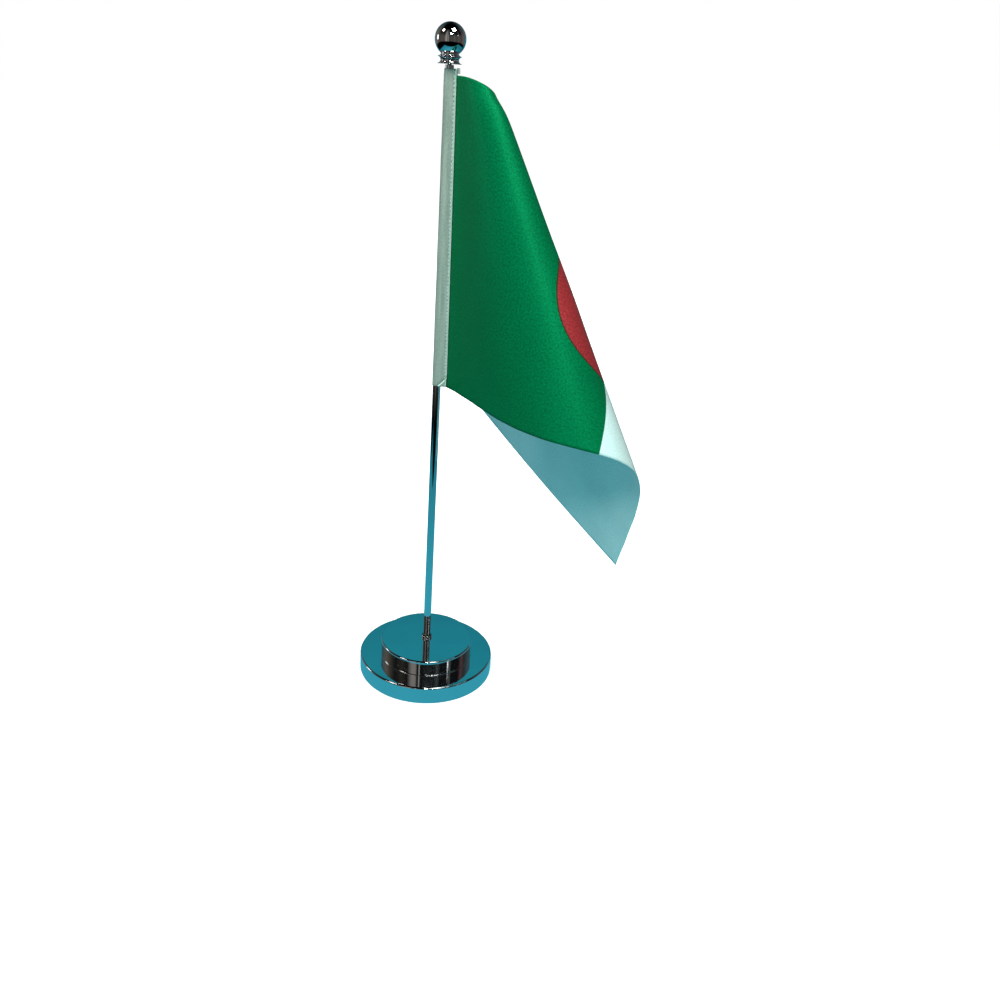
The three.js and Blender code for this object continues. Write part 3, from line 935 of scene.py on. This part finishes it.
def add_stitch(bm, start, end):
    """Adds one stitch, a short round-ended rod."""
    axis = (end - start).normalized()
    across = axis.orthogonal().normalized()
    other = axis.cross(across)
    turns = [2 * math.pi * i / STITCH_SIDES for i in range(STITCH_SIDES)]
    rings = []
    for base, sign in ((start, -1.0), (end, 1.0)):
        order = range(STITCH_CAPS) if sign < 0 else reversed(range(STITCH_CAPS))
        for k in order:
            a = math.pi / 2 * (1 - (k + 0.5) / STITCH_CAPS)
            centre = base + axis * sign * THREAD * math.sin(a)
            reach = THREAD * math.cos(a)
            spokes = [across * math.cos(t) + other * math.sin(t) for t in turns]
            rings.append([bm.verts.new(centre + spoke * reach) for spoke in spokes])
    for lower, upper in zip(rings, rings[1:]):
        for i in range(STITCH_SIDES):
            j = (i + 1) % STITCH_SIDES
            bm.faces.new((lower[i], lower[j], upper[j], upper[i]))
    bm.faces.new(list(reversed(rings[0])))
    bm.faces.new(rings[-1])


def make_stitches(material):
    low, high = levels("header_sleeve")
    bm = bmesh.new()
    count = int((high - low - 2 * HEADER_MARGIN) / STITCH_PITCH)
    for k in range(count):
        middle = low + HEADER_MARGIN + (k + 0.5) * STITCH_PITCH
        for sign in (-1.0, 1.0):
            ends = []
            for z in (middle - STITCH_LENGTH / 2, middle + STITCH_LENGTH / 2):
                place = hoist_place(z) - LEAVING * (HEADER_TAIL - STITCH_SHIFT)
                place += LEAVING_SIDE * sign * (TAIL_HALF + THREAD_SINK)
                ends.append(Vector((place.x, place.y, z)))
            add_stitch(bm, ends[0], ends[1])
    stitches = smooth_object("header_stitches", bm, material)
    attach(stitches, "flag")
    return stitches


def tab_profile():
    """The tab's outline from above, as (out, across): one side, round its fold, and back."""
    profile = [(-TAB_REACH, TAIL_HALF)]
    for k in range(TAB_TURN_STEPS + 1):
        a = math.pi * k / TAB_TURN_STEPS
        profile.append((math.sin(a) * TAB_REACH, math.cos(a) * TAIL_HALF))
    profile.append((-TAB_REACH, -TAIL_HALF))
    return profile


def make_tab(material):
    """The header's top corner, folded over into a small loop beside the pole."""
    low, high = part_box("header_tab")
    middle = [(a + b) / 2 for a, b in zip(low, high)]
    points = []
    flat = []
    for j in range(TAB_ROWS):
        t = j / (TAB_ROWS - 1)
        z = low[2] + TAB_MARGIN + (high[2] - low[2] - 2 * TAB_MARGIN) * t
        narrow = 1.0 - TAB_TAPER * t
        for i, (out, across) in enumerate(tab_profile()):
            place = LEAVING * out * narrow + LEAVING_SIDE * across
            points.append((middle[0] + place.x, middle[1] + place.y, z))
            flat.append((i * TAB_PITCH / FLY, z / FLY))
    tab = cloth_object("header_tab_cloth", points, flat, TAB_ROWS, material)
    thicken(tab, HEADER_CLOTH)
    return stands_for(tab, "header_tab", "flag")


# ---------------------------------------------------------------- floor, cards and lights
TEAL_TABLE = (0.042, 0.38, 0.50, 1.0)
TEAL_FAR = (0.018, 0.19, 0.25, 1.0)
TEAL_BACK = (0.017, 0.26, 0.33, 1.0)
NAVY = (0.004, 0.045, 0.065, 1.0)
CARD_LEFT, CARD_RIGHT = -0.34, 0.60
CARD_FRONT, CARD_BACK = -0.27, 0.50
CARD_TOP = 0.40
TABLE_LEVEL = -1 * MM
FLOOR_RADIUS = 8.0
LAMP_TARGET = Vector((0.03, 0.0, 0.22))


def make_floor():
    """A pale glowing floor, hidden from reflections and soft light, with a painted shadow where
    its glow dims near the base.
    """
    s = Shader("floor")
    place = s.place()
    s.set(
        Base_Color=s.mix(s.noise(place, 40.0), (0.80, 0.80, 0.80, 1.0), (0.82, 0.82, 0.82, 1.0)),
        Roughness=0.9,
        Specular_IOR_Level=0.0,
        Emission_Color=(1.0, 1.0, 1.0, 1.0),
        # painted shadow: the floor's glow dims near the base
        Emission_Strength=s.remap(s.distance(place), 0.06, 0.22, 0.62, 1.0),
    )
    bm = bmesh.new()
    bmesh.ops.create_circle(bm, cap_ends=True, segments=96, radius=FLOOR_RADIUS)
    floor = mesh_object("floor", bm, s.material)
    floor.visible_glossy = False
    floor.visible_diffuse = False


def glow(name, colour_of):
    """A material that only gives light, in the colour that colour_of makes from its nodes."""
    s = Shader(name)
    s.set(
        Base_Color=(0.0, 0.0, 0.0, 1.0),
        Specular_IOR_Level=0.0,
        Emission_Color=colour_of(s),
        Emission_Strength=1.0,
    )
    return s.material


def table_colour(s):
    return s.mix(s.remap(s.distance(s.place()), 0.10, 0.36), TEAL_TABLE, TEAL_FAR)


def back_colour(s):
    return s.mix(s.remap(s.parts(s.place())["Z"], 0.0, 0.38), NAVY, TEAL_BACK)


def card(name, corners, material):
    """A card that reflections and soft light see, and the camera doesn't."""
    bm = bmesh.new()
    bm.faces.new([bm.verts.new(c) for c in corners])
    made = mesh_object(name, bm, material)
    made.visible_camera = False
    made.visible_shadow = False


def make_cards():
    flat = (
        (CARD_LEFT, CARD_FRONT, TABLE_LEVEL),
        (CARD_RIGHT, CARD_FRONT, TABLE_LEVEL),
        (CARD_RIGHT, CARD_BACK, TABLE_LEVEL),
        (CARD_LEFT, CARD_BACK, TABLE_LEVEL),
    )
    upright = (
        (CARD_LEFT, CARD_BACK, 0.0),
        (CARD_RIGHT, CARD_BACK, 0.0),
        (CARD_RIGHT, CARD_BACK, CARD_TOP),
        (CARD_LEFT, CARD_BACK, CARD_TOP),
    )
    card("table_card", flat, glow("table_glow", table_colour))
    card("back_card", upright, glow("back_glow", back_colour))


def area_light(name, direction, distance, width, strength, colour, height=None):
    """A light on the given side of the flag, square unless its height is given."""
    data = bpy.data.lights.new(name, "AREA")
    data.shape = "RECTANGLE"
    data.size = width
    data.size_y = height or width
    data.energy = strength
    data.color = colour
    light = link_object(name, data)
    away = Vector(direction).normalized()
    light.location = LAMP_TARGET + away * distance
    light.rotation_mode = "QUATERNION"
    light.rotation_quaternion = away.to_track_quat("Z", "Y")
    return light


def make_lights():
    """Small lamps that the chrome mirrors, then large soft ones that it doesn't."""
    warm = (1.0, 0.99, 0.97)
    cool = (0.92, 0.97, 1.0)
    green = (0.85, 1.0, 0.97)
    area_light("ceiling_lamp", (0.27, -0.33, 0.93), 1.1, 0.36, 4.2, warm)
    area_light("side_lamp", (-0.64, -0.15, 0.76), 1.2, 0.26, 1.2, warm)
    area_light("left_window", (-0.92, 0.25, 0.16), 1.3, 0.22, 0.8, cool, height=0.4)
    area_light("far_lamp", (0.02, -0.79, 0.62), 1.6, 0.13, 3.4, green)
    area_light("front_lamp", (0.19, -0.77, 0.62), 1.6, 0.07, 1.2, (0.90, 1.0, 0.98))
    area_light("right_lamp", (0.74, -0.49, 0.45), 1.6, 0.08, 0.05, (1.0, 1.0, 1.0))
    soft = [
        area_light("soft_key", (-0.16, -0.62, 0.77), 1.6, 0.9, 26.0, (0.80, 1.0, 0.93)),
        area_light("teal_bounce", (-0.25, -0.96, 0.0), 1.6, 0.4, 5.4, (0.04, 0.85, 0.96)),
        area_light("back_fill", (-0.55, 0.80, 0.40), 1.5, 0.9, 9.0, green),
    ]
    for light in soft:
        light.visible_glossy = False


# ---------------------------------------------------------------- room
DARK = (0.006, 0.007, 0.008)
BROWN = (0.13, 0.105, 0.085)
GREY = (0.24, 0.22, 0.20)
BRIGHT = (0.55, 0.55, 0.52)
DIM_TEAL = (0.05, 0.10, 0.12)
HAZE = (0.060, 0.052, 0.047)
# Degrees round the object from the camera's side, positive towards +X, and the colour there.
ROOM_COLUMNS = (
    (-180, DARK),
    (-140, DIM_TEAL),
    (-118, BROWN),
    (-100, (0.05, 0.045, 0.035)),
    (-84, DARK),
    (-62, (0.03, 0.025, 0.02)),
    (-46, DARK),
    (-34, GREY),
    (-25, GREY),
    (-21, DARK),
    (-17, DARK),
    (-15.5, BRIGHT),
    (-14, DARK),
    (-9, DARK),
    (22, DARK),
    (30, (0.05, 0.06, 0.06)),
    (36, DARK),
    (62, DARK),
    (64, (0.18, 0.20, 0.19)),
    (66, DARK),
    (92, DARK),
    (102, (0.11, 0.055, 0.06)),
    (112, (0.03, 0.03, 0.03)),
    (140, DIM_TEAL),
    (180, DARK),
)


def room_columns(w, direction):
    """Upright lighter stretches round a dark room."""
    azimuth = w.math("ARCTAN2", direction["X"], w.math("MULTIPLY", direction["Y"], -1.0))
    ramp = w.node("ShaderNodeValToRGB")
    w.link(w.math("ADD", w.math("DIVIDE", azimuth, 2 * math.pi), 0.5), ramp.inputs["Fac"])
    stops = ramp.color_ramp.elements
    for i, (degrees, colour) in enumerate(ROOM_COLUMNS):
        place = degrees / 360 + 0.5
        stop = stops[i] if i < 2 else stops.new(place)
        stop.position = place
        stop.color = (*colour, 1.0)
    return ramp.outputs["Color"]


def make_world():
    """White to the camera, and to reflections a dim room with upright lighter stretches."""
    world = bpy.data.worlds.new("room")
    bpy.context.scene.world = world
    world.use_nodes = True
    w = Nodes(world.node_tree)
    direction = w.parts(w.node("ShaderNodeTexCoord").outputs["Generated"])
    columns = room_columns(w, direction)
    height = direction["Z"]
    above_table = w.remap(height, -0.34, -0.24)
    below_ceiling = w.remap(height, 0.88, 0.60)
    low_down = w.remap(height, 0.50, 0.25)
    room = w.node("ShaderNodeVectorMath", operation="ADD")
    w.link(w.scaled(columns, w.math("MULTIPLY", below_ceiling, above_table)), room.inputs[0])
    w.link(w.scaled(HAZE, w.math("MULTIPLY", low_down, above_table)), room.inputs[1])
    from_camera = w.node("ShaderNodeLightPath").outputs["Is Camera Ray"]
    seen = w.mix(from_camera, room.outputs[0], (1.0, 1.0, 1.0, 1.0))
    w.link(seen, w.tree.nodes["Background"].inputs["Color"])


# ---------------------------------------------------------------- build
def dress(names, material):
    for name in names:
        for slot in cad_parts[name].material_slots:
            slot.material = material


def dress_nodes():
    """Gives the CAD nodes that stay in view, or inside, their own materials."""
    zinc_plated = (
        "cover_plate",
        "cover_screw_1",
        "cover_screw_2",
        "cover_screw_3",
        "flat_washer",
        "clamp_nut",
        "finial_stud",
    )
    dress(zinc_plated, brushed_steel("zinc_steel", ZINC_LIGHT, ZINC_DARK, 0.28))
    dress(("spring_washer",), brushed_steel("spring_steel", OILED_LIGHT, OILED_DARK, 0.35))
    dress(("disc_ballast", "drum_ballast"), cast_iron())
    dress(("foot_pad",), foam())


def main():
    bpy.context.scene.view_settings.view_transform = "Standard"
    make_camera()
    make_floor()
    make_cards()
    make_lights()
    make_world()
    dress_nodes()

    metal = chrome()
    make_base(metal)
    make_pole(metal)
    make_finial(metal)

    flag = make_flag(satin("flag_satin", flag_print))
    header_material = satin("header_satin", header_cloth)
    header = make_header(header_material)
    stitches = make_stitches(thread())
    tab = make_tab(header_material)

    bpy.context.view_layer.update()


main()
